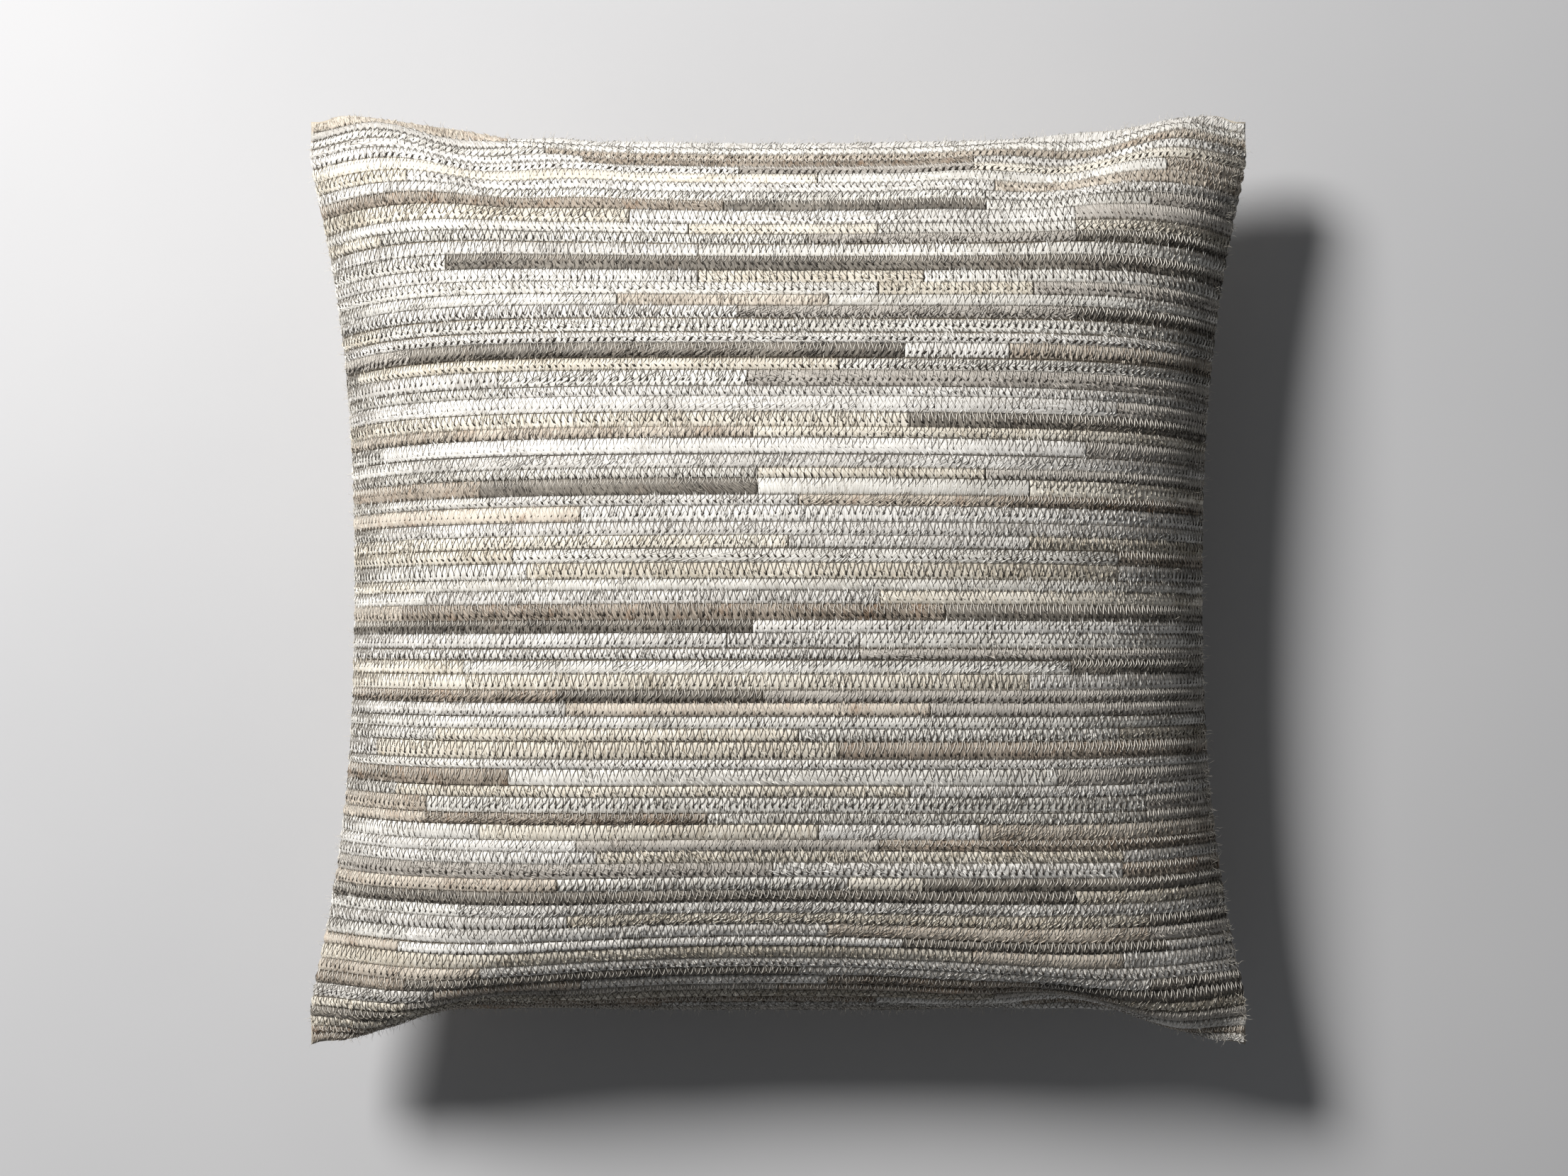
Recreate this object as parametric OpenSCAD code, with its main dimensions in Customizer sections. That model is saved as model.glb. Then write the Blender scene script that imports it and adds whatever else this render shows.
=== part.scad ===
// Square throw pillow: strips of hair-on cowhide sewn side by side on a cloth backing,
// a plain woven back panel, a zip in the bottom seam and a separate feather insert.
// It lies on its back with the hide face up. Millimetres, +Z up, the strips run along X,
// and the origin is at floor level under the middle of the pillow.

/* [Pillow] */
// Width from corner to corner, along the strips
pillow_w = 500; // [380:1:620]
// Height from corner to corner, across the strips
pillow_h = 494; // [380:1:620]
// Thickness at the crown, lying on its back
pillow_t = 166; // [120:1:220]
// Height of the edge seam above the floor
seam_z = 70; // [50:1:90]
// How far the middle of each side edge is drawn in
waist_side = 27; // [10:1:45]
// How far the middle of the top edge is drawn in
waist_top = 15; // [6:1:40]
// How far the zip is drawn in behind the bottom corners
waist_bottom = 23; // [10:1:40]
// Half the angle that the stuffed panel turns through from edge to edge
bulge_angle = 50; // [35:1:65]
// Roundness of the shoulders: lower is fuller
fullness = 0.7; // [0.6:0.01:1]
// How far the belly would hang below the floor if the floor did not flatten it
belly_press = 14; // [6:1:24]

/* [Hide strips] */
// Thickness of a strip, leather and hair together
hide_t = 2; // [1:0.1:4]
// Gap between neighbouring strips
strip_gap = 0.2; // [0.1:0.05:0.5]

/* [Cover cloth] */
// Thickness of the cloth that backs the strips
backing_t = 0.8; // [0.5:0.1:1.5]
// Thickness of the woven back panel
back_t = 1; // [0.6:0.1:2]
// How far the back panel's edge sits inside the hair of the front
back_inset = 1; // [0.5:0.1:3]
// Width of the seam allowance turned inside the edge
allowance_w = 11; // [6:0.5:12]
// Thickness of the seam allowance, both layers together
allowance_t = 1.2; // [0.8:0.1:2]
// Clearance between layers that lie on each other
layer_gap = 0.3; // [0.3:0.05:0.6]

/* [Zip] */
// Length of the zip between its stops
zip_len = 300; // [200:2:320]
// Spacing of the teeth in one row
tooth_pitch = 2.5; // [2:0.1:3]
// How far the zip's tapes sit behind the hair of the bottom edge
zip_depth = 6; // [5.5:0.1:8]
// Thickness of the zip tape
tape_t = 0.6; // [0.4:0.1:0.8]
// Width of one tape past its bend
tape_w = 9; // [6:0.5:10]
// Half of the opening between the two folded lips
lip_open = 5; // [5:0.1:6]
// Thickness of a folded lip
lip_t = 1.3; // [0.8:0.1:1.5]
// Length of the slider
slider_l = 10; // [8:0.5:14]
// Width of the slider across the teeth
slider_w = 8.4; // [8:0.1:9]
// Length of the pull tab from its hinge to its round end
tab_l = 24; // [16:0.5:32]
// Width of the pull tab
tab_w = 6; // [5:0.1:8]

/* [Insert] */
// How far the insert's edge sits inside the cover's edge
insert_in = 15; // [14:0.5:24]
// Gap between the backing cloth and the insert at the crown
insert_gap = 0.9; // [0.7:0.1:4]
// Thickness of the ticking
ticking_t = 0.8; // [0.5:0.1:1.5]
// Width of the insert's own seam allowance
insert_seam_w = 6; // [4:0.5:10]

/* [Labels] */
// Thickness of a label
label_t = 0.4; // [0.3:0.1:0.5]

/* [Hidden] */
$fn = 32;

// Hair tones, and the strips of each row from the top edge down. A row lists its strips
// from left to right as [tone, where the strip ends], in percent of the row's length.
W = "white";
V = "ivory";
S = "silver";
D = "sand";
G = "grey";
T = "taupe";
C = "charcoal";
ROWS = [
    [[D, 22], [S, 100]],
    [[S, 22], [W, 100]],
    [[W, 26], [D, 100]],
    [[S, 30], [T, 70], [S, 100]],
    [[S, 46], [G, 70], [V, 100]],
    [[V, 54], [W, 90], [D, 100]],
    [[V, 12], [S, 72], [D, 100]],
    [[S, 20], [W, 71], [S, 100]],
    [[T, 44.5], [C, 71], [W, 88], [G, 100]],
    [[V, 35], [S, 80], [G, 100]],
    [[W, 41], [V, 60], [W, 80], [V, 100]],
    [[V, 9], [W, 53], [G, 80], [C, 100]],
    [[S, 42], [W, 100]],
    [[W, 16.5], [C, 100]],
    [[S, 42], [V, 64.5], [W, 100]],
    [[W, 60], [V, 75.5], [G, 100]],
    [[W, 34], [D, 55], [W, 100]],
    [[S, 46], [G, 80], [C, 100]],
    [[V, 8], [W, 100]],
    [[S, 100]],
    [[G, 12], [C, 62.5], [S, 73], [D, 100]],
    [[W, 3.5], [V, 56], [W, 100]],
    [[S, 22], [W, 47], [G, 100]],
    [[W, 23], [S, 100]],
    [[S, 84.5], [G, 100]],
    [[V, 63], [C, 79.5], [C, 100]],
    [[D, 47.5], [V, 100]],
    [[W, 7.5], [S, 81], [G, 100]],
    [[W, 12], [S, 100]],
    [[W, 48], [V, 70.5], [G, 100]],
    [[T, 20], [C, 48], [W, 75], [V, 100]],
    [[W, 21], [S, 52], [D, 73], [T, 100]],
    [[D, 30.5], [S, 100]],
    [[W, 8], [S, 100]],
    [[V, 51], [S, 75], [V, 100]],
    [[V, 23.5], [W, 85], [T, 100]],
    [[W, 25], [V, 85], [S, 100]],
    [[V, 12], [W, 100]],
    [[W, 13.5], [S, 60], [V, 100]],
    [[D, 10], [T, 66.5], [C, 100]],
    [[C, 47.5], [S, 100]],
    [[S, 45], [S, 58], [W, 100]],
    [[S, 58], [G, 100]],
    [[V, 18], [W, 79.5], [C, 100]],
    [[V, 18.5], [V, 75], [S, 100]],
    [[T, 28], [C, 48.5], [G, 100]],
    [[S, 29], [D, 65], [G, 100]],
    [[W, 100]],
    [[W, 15], [V, 52], [W, 85], [V, 100]],
    [[S, 6.5], [V, 56], [T, 100]],
    [[W, 20], [S, 100]],
    [[T, 23], [W, 78], [G, 100]],
    [[W, 10], [V, 63], [S, 100]],
    [[D, 14], [W, 88], [G, 100]],
    [[D, 14], [T, 43], [W, 88], [G, 100]],
    [[W, 20], [V, 54], [S, 70], [D, 100]],
    [[S, 30], [G, 60], [T, 100]],
    [[S, 32], [V, 85], [S, 100]],
    [[G, 49.5], [S, 85], [T, 100]],
    [[D, 28], [W, 57], [V, 64.5], [C, 100]],
    [[C, 80], [V, 100]],
    [[W, 18], [S, 100]],
    [[S, 29], [V, 88], [C, 100]],
    [[W, 12], [S, 55], [D, 88], [G, 100]],
    [[D, 11], [S, 62.5], [C, 90], [S, 100]],
    [[V, 69.5], [D, 85], [S, 100]],
    [[D, 20], [S, 100]],
    [[T, 12], [C, 52], [S, 88], [C, 100]],
    [[S, 15], [T, 30], [S, 55], [T, 76.5], [C, 100]],
    [[V, 12], [G, 50], [T, 85], [V, 100]],
    [[C, 10], [V, 72], [G, 100]],
    [[V, 25], [T, 60], [S, 100]],
    [[T, 38], [S, 75], [T, 100]],
    [[T, 30], [G, 70], [S, 100]]];
n_rows = len(ROWS);

// Columns and rows of the shells' facets, across the width and across the height. The
// backing cloth has a row of facets under each row of strips.
n_cols = 14;
n_shell = 16;

// Half the opening between front and back at the seam, and where the crown and belly start
rim = allowance_t / 2 + layer_gap;
front_rise = pillow_t - seam_z - rim;
belly_drop = seam_z - rim + belly_press;
zip_half = zip_len / 2;
zip_y = -(pillow_h / 2 - waist_bottom);
tape_y = zip_y + zip_depth;
lip_end = 8;
straight_half = zip_half + lip_end;
lift = lip_open - rim;
lift_ramp = 30;
lift_fade = 8;

// Layers of the front and the back: [inset of the edge, depth below the crown, lifted at zip]
hide_out = [0, 0, 1];
hide_in = [hide_t, hide_t, 1];
backing_out = [hide_t + layer_gap, hide_t + layer_gap, 1];
backing_in = [backing_out[0] + backing_t, backing_out[1] + backing_t, 1];
back_out = [back_inset, 0, 1];
back_in = [back_inset + back_t, back_t, 1];
care_out = [back_in[0] + layer_gap, back_in[1] + layer_gap, 1];
care_in = [care_out[0] + label_t, care_out[1] + label_t, 1];
ticking_front_out = [insert_in, backing_in[1] + insert_gap, 0];
ticking_front_in = [insert_in + ticking_t, ticking_front_out[1] + ticking_t, 0];
ticking_back_out = [insert_in, back_in[1] + insert_gap, 0];
ticking_back_in = [insert_in + ticking_t, ticking_back_out[1] + ticking_t, 0];
filling_front = [ticking_front_in[0] + layer_gap, ticking_front_in[1] + layer_gap, 0];
filling_back = [ticking_back_in[0] + layer_gap, ticking_back_in[1] + layer_gap, 0];

// Arc of a stuffed panel: height F (1 in the middle, 0 at the edge) and plan position G
// (-1 to 1) of a point that lies a share t of the way from the middle to the edge
function F(t) = (cos(bulge_angle * t) - cos(bulge_angle)) / (1 - cos(bulge_angle));
function G(t) = sin(bulge_angle * t) / sin(bulge_angle);
function smooth(a) = let (c = min(1, max(0, a))) c * c * (3 - 2 * c);

// How much of the full waist the edge shows at plan position g: 1 in the middle, 0 at a
// corner, and all of it along the straight stretch that holds the zip
function waist(g) = 1 - pow(abs(g), 2.4);
function zip_waist(g) =
    let (g0 = straight_half / (pillow_w / 2), a = (abs(g) - g0) / (1 - g0))
    a > 0 ? 1 - pow(a, 1.5) : 1;

// Half width at plan height g, and half height at plan position g, for an edge inset by e
function half_w(g, e) = pillow_w / 2 - e - waist_side * waist(g);
function half_top(g, e) = pillow_h / 2 - e - waist_top * waist(g);
function half_bottom(g, e) = pillow_h / 2 - e - waist_bottom * zip_waist(g);

// Lift of the cover's edges where the zip's lips part, at column s and row t
column_w = pillow_w / n_cols;
function zip_lift(s, t) =
    lift * smooth(1 - (abs(G(s)) * pillow_w / 2 - straight_half - column_w) / lift_ramp)
         * pow((1 - t) / 2, lift_fade);

// Point of a layer at column s and row t, both from -1 to 1
function plan(s, t, e) = [
    G(s) * half_w(G(t), e),
    G(t) * (t < 0 ? half_bottom(G(s), e) : half_top(G(s), e))];
function dome(s, t) = pow(max(0, F(s) * F(t)), fullness);
function front_point(s, t, layer) = concat(plan(s, t, layer[0]), [
    seam_z + rim + layer[2] * zip_lift(s, t) + (front_rise - layer[1]) * dome(s, t)]);
function back_point(s, t, layer) = concat(plan(s, t, layer[0]), [
    max(layer[1],
        seam_z - rim - layer[2] * zip_lift(s, t) - (belly_drop - layer[1]) * dome(s, t))]);

// Even steps from -1 to 1
function steps(n) = [for (i = [0 : n]) -1 + 2 * i / n];

// Closed solid between two grids of points, the first one above or outside the second.
// Each grid is a list of rows from low t to high t.
module slab(upper, lower) {
    m = len(upper);
    n = len(upper[0]);
    lo = m * n;
    loop = [for (j = [0 : n - 2]) j, for (i = [0 : m - 2]) i * n + n - 1,
            for (j = [n - 1 : -1 : 1]) (m - 1) * n + j, for (i = [m - 1 : -1 : 1]) i * n];
    k = len(loop);
    polyhedron(
        points = [for (row = upper) for (p = row) p, for (row = lower) for (p = row) p],
        faces = [
            for (i = [0 : k - 1]) let (a = loop[i], b = loop[(i + 1) % k])
                each [[a, b, lo + b], [a, lo + b, lo + a]],
            for (i = [0 : m - 2]) for (j = [0 : n - 2]) let (a = i * n + j)
                each [[a, a + n, a + n + 1], [a, a + n + 1, a + 1],
                      [lo + a, lo + a + n + 1, lo + a + n], [lo + a, lo + a + 1, lo + a + n + 1]]]);
}

// Point of a front layer on the straight facet edge between its two nearest columns
function facet_point(s, t, layer) =
    let (k = min(n_cols - 1, floor((s + 1) / 2 * n_cols + 0.001)),
         s0 = steps(n_cols)[k],
         f = (s - s0) / (steps(n_cols)[k + 1] - s0))
    (1 - f) * front_point(s0, t, layer) + f * front_point(steps(n_cols)[k + 1], t, layer);

function front_grid(ss, ts, layer) = [for (t = ts) [for (s = ss) facet_point(s, t, layer)]];
function back_grid(ss, ts, layer) = [for (t = ts) [for (s = ss) back_point(s, t, layer)]];

// The strips of one tone. A strip follows the shells' columns, so that it lies on the
// backing cloth, and its two long edges are its row's edges less half the gap.
module hide_strips(tone, tint) {
    gap_t = strip_gap / pillow_h;
    gap_s = strip_gap / pillow_w;
    color(tint)
        for (r = [0 : n_rows - 1]) {
            top = 1 - 2 * r / n_rows;
            rows = [top - 2 / n_rows + gap_t, top - gap_t];
            for (k = [0 : len(ROWS[r]) - 1])
                if (ROWS[r][k][0] == tone) {
                    s0 = -1 + (k == 0 ? 0 : ROWS[r][k - 1][1] / 50 + gap_s);
                    s1 = -1 + ROWS[r][k][1] / 50 - (k == len(ROWS[r]) - 1 ? 0 : gap_s);
                    between = [for (s = steps(n_cols)) if (s > s0 + 0.001 && s < s1 - 0.001) s];
                    cols = concat([s0], between, [s1]);
                    slab(front_grid(cols, rows, hide_out), front_grid(cols, rows, hide_in));
                }
        }
}

module hide_strips_white() hide_strips(W, "#efece6");
module hide_strips_ivory() hide_strips(V, "#e2d8c4");
module hide_strips_silver() hide_strips(S, "#cfccc8");
module hide_strips_sand() hide_strips(D, "#b8ab9a");
module hide_strips_grey() hide_strips(G, "#9a948e");
module hide_strips_taupe() hide_strips(T, "#85796c");
module hide_strips_charcoal() hide_strips(C, "#5f5a56");

module front_backing_cloth() {
    ss = steps(n_cols);
    ts = steps(n_rows);
    color("#cfc6b8")
        slab(front_grid(ss, ts, backing_out), front_grid(ss, ts, backing_in));
}

module back_panel() {
    ss = steps(n_cols);
    ts = steps(n_shell);
    color("#c9bfae")
        slab(back_grid(ss, ts, back_in), back_grid(ss, ts, back_out));
}

// Outline of an edge inset by e, as a closed polygon
function outline(e) = let (ss = steps(n_cols), ts = steps(n_shell)) concat(
    [for (s = ss) plan(s, -1, e)],
    [for (t = ts) if (t > -1) plan(1, t, e)],
    [for (s = ss) if (s > -1) plan(-s, 1, e)],
    [for (t = ts) if (t > -1 && t < 1) plan(-1, -t, e)]);

module flat_ring(e0, e1, t)
    translate([0, 0, seam_z - t / 2])
        linear_extrude(t)
            difference() {
                polygon(outline(e0));
                polygon(outline(e1));
            }

// The two panels' turned-in edges, sewn together all round except along the zip and
// where the pull tab lies when the zip is open
module edge_seam_allowance()
    color("#c4baa9")
        difference() {
            flat_ring(back_in[0], back_in[0] + allowance_w, allowance_t);
            translate([-straight_half - tab_l, zip_y - 5, seam_z - 2])
                cube([2 * straight_half + tab_l, allowance_w + zip_depth + 5, 4]);
        }

// Slope of the cover beside the ends of the zip, front (+1) or back (-1)
zip_s = asin(straight_half / (pillow_w / 2) * sin(bulge_angle)) / bulge_angle;
slope_t = steps(n_shell)[1];
function cover_slope(side) =
    let (a = side > 0 ? front_point(zip_s, -1, backing_in) : back_point(zip_s, -1, back_in),
         b = side > 0 ? front_point(zip_s, slope_t, backing_in) : back_point(zip_s, slope_t, back_in))
    atan2(abs(b[2] - a[2]), b[1] - a[1]);

// A section drawn in the YZ plane and carried along the zip from x0 to x1
module along_zip(x0, x1)
    translate([x0, 0, 0])
        rotate([90, 0, 90])
            linear_extrude(x1 - x0)
                children();

// Section of a lip: it lies under the cover from the zip's opening inwards
module lip_section(side) {
    a = cover_slope(side);
    off = tape_t / 2 + 0.2;
    translate([tape_y, seam_z])
        mirror([0, side > 0 ? 0 : 1])
            translate([0, lip_open])
                rotate(a)
                    translate([0, off])
                        square([tape_w, lip_t]);
}

module zip_lip_front()
    color("#bdb19d")
        along_zip(-straight_half, straight_half)
            lip_section(1);

module zip_lip_back()
    color("#bdb19d")
        along_zip(-straight_half, straight_half)
            lip_section(-1);

// Section of a tape: flat inside the slider, then bent back along the cover
tooth_h = 3.4;
tooth_past = 1;
tooth_root = tooth_h - tooth_past;
module tape_section(side) {
    a = cover_slope(side);
    h = tape_t / 2;
    reach = [tape_w * cos(a), tape_w * sin(a)];
    translate([tape_y, seam_z])
        mirror([0, side > 0 ? 0 : 1])
            polygon([
                [-h, tooth_root], [h, tooth_root], [h, lip_open - h],
                [h + reach[0], lip_open - h + reach[1]], [-h + reach[0], lip_open + h + reach[1]],
                [-h, lip_open]]);
}

module zip_tape_front()
    color("#8c8375")
        along_zip(-straight_half, straight_half)
            tape_section(1);

module zip_tape_back()
    color("#8c8375")
        along_zip(-straight_half, straight_half)
            tape_section(-1);

// One row of teeth. A tooth is narrower at its head, which lies between the other row's.
stop_l = 2.5;
tooth_t = 2.4;
tooth_w = 1.15;
n_teeth = floor((zip_len - 2 * stop_l - 2) / tooth_pitch);
module teeth_row(side) {
    start = -(n_teeth - 0.5) * tooth_pitch / 2 + (side > 0 ? 0 : tooth_pitch / 2);
    for (i = [0 : n_teeth - 1])
        translate([start + i * tooth_pitch, tape_y + tooth_t / 2, seam_z])
            rotate([90, 0, 0])
                linear_extrude(tooth_t)
                    mirror([0, side > 0 ? 0 : 1])
                        polygon([[-tooth_w / 2, tooth_root], [tooth_w / 2, tooth_root],
                                 [tooth_w / 2, 0], [0.35, -tooth_past], [-0.35, -tooth_past],
                                 [-tooth_w / 2, 0]]);
}

module zip_teeth_front()
    color("#9a8f7e")
        teeth_row(1);

module zip_teeth_back()
    color("#9a8f7e")
        teeth_row(-1);

module zip_top_stops()
    color("silver")
        for (side = [-1, 1])
            translate([zip_half - stop_l / 2, tape_y - tooth_t / 2, seam_z + side * 1.7 - 0.7])
                cube([stop_l, tooth_t, 1.4]);

module zip_bottom_stop()
    color("silver")
        translate([-zip_half - stop_l / 2, tape_y - tooth_t / 2, seam_z - tooth_root])
            cube([stop_l, tooth_t, 2 * tooth_root]);

// Slider, closed, just short of the top stops
slider_x = zip_half - stop_l / 2 - 0.5 - slider_l / 2;
slider_gap = 0.3;
plate_y = tooth_t / 2 + slider_gap;
plate_t = 1.1;
flange_w = 1;
bridge_w = 2;
window = 1.6;
bar_t = 0.8;
pin_r = 0.6;
hinge_y = tape_y - plate_y - plate_t - window / 2;

// One plate of the slider with its two flanges, which point at the tape
module slider_plate() {
    c = 1.2;
    a = slider_l / 2;
    b = slider_w / 2;
    translate([0, -plate_y, 0])
        rotate([90, 0, 0])
            linear_extrude(plate_t)
                polygon([[-a + c, -b], [a - c, -b], [a, -b + c], [a, b - c], [a - c, b],
                         [-a + c, b], [-a, b - c], [-a, -b + c]]);
    for (side = [-1, 1])
        translate([-a + c, -plate_y, side * (b - flange_w / 2) - flange_w / 2])
            cube([2 * (a - c), plate_y - tape_t / 2 - slider_gap, flange_w]);
}

module zip_slider_outer_plate()
    color("silver")
        translate([slider_x, tape_y, seam_z]) {
            slider_plate();
            // Bridge that holds the pull tab's pin
            translate([0, -plate_y - plate_t, -bridge_w / 2])
                linear_extrude(bridge_w)
                    difference() {
                        translate([-3, -window - bar_t])
                            square([6, window + bar_t]);
                        translate([-1.9, -window])
                            square([3.8, window]);
                    }
        }

module zip_slider_inner_plate()
    color("silver")
        translate([slider_x, tape_y, seam_z])
            mirror([0, 1, 0])
                slider_plate();

// Pull tab: a pin under the bridge, two arms past the bridge, and a round-ended tongue
module zip_pull_tab()
    color("silver")
        translate([slider_x, hinge_y, seam_z]) {
            arm_gap = bridge_w / 2 + 0.5;
            arm_w = tab_w / 2 - arm_gap;
            root = 4.4;
            tab_t = 1;
            cylinder(r = pin_r, h = tab_w, center = true);
            for (side = [-1, 1])
                translate([-root - 0.5, -tab_t / 2, side * (arm_gap + arm_w / 2) - arm_w / 2])
                    cube([root + 0.5, tab_t, arm_w]);
            translate([-tab_l + tab_w / 2, -tab_t / 2, -tab_w / 2])
                cube([tab_l - tab_w / 2 - root, tab_t, tab_w]);
            translate([-tab_l + tab_w / 2, 0, 0])
                rotate([90, 0, 0])
                    cylinder(r = tab_w / 2, h = tab_t, center = true);
        }

// Blank label inside the cover, sewn into the seam past the zip's end
module care_label() {
    ss = [for (k = [1, 2]) steps(n_cols)[k]];
    ts = [for (k = [0 : 2]) steps(n_shell)[k]];
    color("white")
        slab(back_grid(ss, ts, care_in), back_grid(ss, ts, care_out));
}

module insert_ticking_front() {
    ss = steps(n_cols);
    ts = steps(n_shell);
    color("white")
        slab(front_grid(ss, ts, ticking_front_out), front_grid(ss, ts, ticking_front_in));
}

module insert_ticking_back() {
    ss = steps(n_cols);
    ts = steps(n_shell);
    color("white")
        slab(back_grid(ss, ts, ticking_back_in), back_grid(ss, ts, ticking_back_out));
}

module insert_seam()
    color("white")
        flat_ring(insert_in, insert_in + insert_seam_w, allowance_t);

module insert_filling() {
    inside = insert_in + insert_seam_w + layer_gap;
    ss = steps(n_cols);
    ts = steps(n_shell);
    color("ivory")
        slab(front_grid(ss, ts, [inside, filling_front[1], 0]), back_grid(ss, ts, [inside, filling_back[1], 0]));
}

module insert_label() {
    ss = [for (k = [-3, -2]) steps(n_cols)[n_cols + 1 + k]];
    ts = [for (k = [0, 1]) steps(n_shell)[n_shell / 2 + k]];
    out = [insert_in - layer_gap - label_t, ticking_front_out[1] - layer_gap - label_t / 2, 0];
    color("white")
        slab(front_grid(ss, ts, out), front_grid(ss, ts, [out[0] + label_t, out[1] + label_t / 2, 0]));
}

hide_strips_white();
hide_strips_ivory();
hide_strips_silver();
hide_strips_sand();
hide_strips_grey();
hide_strips_taupe();
hide_strips_charcoal();
front_backing_cloth();
back_panel();
edge_seam_allowance();
zip_lip_front();
zip_lip_back();
zip_tape_front();
zip_tape_back();
zip_teeth_front();
zip_teeth_back();
zip_top_stops();
zip_bottom_stop();
zip_slider_outer_plate();
zip_slider_inner_plate();
zip_pull_tab();
care_label();
insert_ticking_front();
insert_ticking_back();
insert_seam();
insert_filling();
insert_label();
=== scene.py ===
import math

import bpy
import numpy as np
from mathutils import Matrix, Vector


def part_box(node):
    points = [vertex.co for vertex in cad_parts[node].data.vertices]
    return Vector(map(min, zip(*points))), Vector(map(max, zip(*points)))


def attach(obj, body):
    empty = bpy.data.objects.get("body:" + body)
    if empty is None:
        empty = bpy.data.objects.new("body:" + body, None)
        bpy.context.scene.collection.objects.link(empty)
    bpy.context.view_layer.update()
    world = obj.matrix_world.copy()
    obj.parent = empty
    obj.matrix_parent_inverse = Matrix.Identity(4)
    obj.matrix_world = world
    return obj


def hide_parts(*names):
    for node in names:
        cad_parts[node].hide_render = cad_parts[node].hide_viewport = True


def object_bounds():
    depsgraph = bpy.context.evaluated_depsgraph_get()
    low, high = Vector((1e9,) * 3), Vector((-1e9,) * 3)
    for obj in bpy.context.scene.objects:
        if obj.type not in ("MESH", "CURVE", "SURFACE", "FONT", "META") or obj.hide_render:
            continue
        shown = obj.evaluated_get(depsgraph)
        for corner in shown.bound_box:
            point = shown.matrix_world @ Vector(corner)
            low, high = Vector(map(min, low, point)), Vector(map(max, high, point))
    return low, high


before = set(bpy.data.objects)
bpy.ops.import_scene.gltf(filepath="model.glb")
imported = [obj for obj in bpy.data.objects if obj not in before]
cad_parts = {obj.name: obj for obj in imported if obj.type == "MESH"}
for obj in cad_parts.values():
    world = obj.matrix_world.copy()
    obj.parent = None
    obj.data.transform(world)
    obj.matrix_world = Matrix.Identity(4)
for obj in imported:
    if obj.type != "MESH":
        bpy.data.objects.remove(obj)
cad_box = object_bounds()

# ---- The cover, cut and filled ---------------------------------------------------------
# Two squares of cloth are sewn together all round and stuffed. The fill draws the seam in
# between the corners, most at the sides, and the zip keeps its own stretch of seam straight.
# Every soft piece below lies on the shape that this cloth takes. Sizes are millimetres, up
# to the studio at the end.
MM = 0.001
CUT = 508.0  # side of each square between its seams
HALF_CUT = CUT / 2
SIDE_DRAW = 32.5  # how far the fill draws in the middle of each side
TOP_DRAW = 20.5
ZIP_DRAW = 28.5
HIDE = 2.0  # thickness of the hide with its flattened hair
LOCK_ROOM = 0.4  # above the hide, for the raised locks of hair and the thread
BACK_INSET = 1.0
SEAM_RISE = 0.9  # from the seam's middle to either panel
ZIP_LIFT = 4.1  # how much further the panels part along the zip
TAB_ROOM = 26.0  # past the zip's left end, for the open zip's pull tab
CORNER_OUT = 5.5  # how far a pointed corner would reach past the filled cover's box
CORNER_BLUNT = 9.0  # how far each turned corner stands back from that, both ways
BELLY_PRESS = 14.0  # how far the belly would sink into the floor if that gave way
# Puckers: [side (+1 top, -1 bottom), place along it, width, depth]
PUCKERS = [
    [+1, -138, 16, 3.0], [+1, -95, 14, 1.2], [+1, 118, 30, 1.6], [+1, 176, 16, 1.4],
    [-1, -196, 12, 2.6], [-1, -172, 10, 1.4], [-1, -112, 26, 1.6], [-1, 104, 24, 1.8],
    [-1, 186, 14, 3.2], [-1, 214, 9, 1.6]]

half_width = (cad_box[1][0] - cad_box[0][0]) / 2 / MM
half_height = (cad_box[1][1] - cad_box[0][1]) / 2 / MM
crown_z = cad_box[1][2] / MM
seam_z = sum(corner[2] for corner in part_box("edge_seam_allowance")) / 2 / MM
zip_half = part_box("zip_lip_front")[1][0] / MM
N = 64  # cloth cells along a side


def draw_in(place):
    """Share of the full draw at a place along a side: 1 in the middle, 0 at a corner."""
    return 1 - np.abs(place) ** 2.4


def zip_draw_in(place):
    """The same along the zip's side: all of it as far as the zip goes, then 0 at a corner."""
    start = zip_half / half_width
    past = np.clip((np.abs(place) - start) / (1 - start), 0, 1)
    return 1 - past ** 1.5


def seam_outline(s, t, inset):
    """Where the seam lies in plan: the flat square's own places, drawn in at each side."""
    x = s * (half_width + CORNER_OUT - inset - SIDE_DRAW * draw_in(t))
    drawn = np.where(t < 0, ZIP_DRAW * zip_draw_in(s), TOP_DRAW * draw_in(s))
    y = t * (half_height + CORNER_OUT - inset - drawn)
    for side, place, width, depth in PUCKERS:
        near = np.exp(-((s * half_width - place) / width) ** 2) * (t * side > 0.999)
        y = y - side * depth * near
    from_corner = (1 - np.minimum(np.abs(s), np.abs(t))) * half_width
    blunt = CORNER_BLUNT * np.exp(-(from_corner / 17) ** 2)
    return x - np.sign(s) * blunt, y - np.sign(t) * blunt


def soft_noise(cells, seed):
    """Random heights on a coarse net, blended smoothly between its nodes."""
    net = np.random.default_rng(seed).normal(size=(cells, cells))
    u = np.linspace(0, cells - 1, N + 1)
    i = np.minimum(u.astype(int), cells - 2)
    f = (u - i) ** 2 * (3 - 2 * (u - i))
    net = net[i] * (1 - f)[:, None] + net[i + 1] * f[:, None]
    return net[:, i] * (1 - f) + net[:, i + 1] * f


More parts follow.
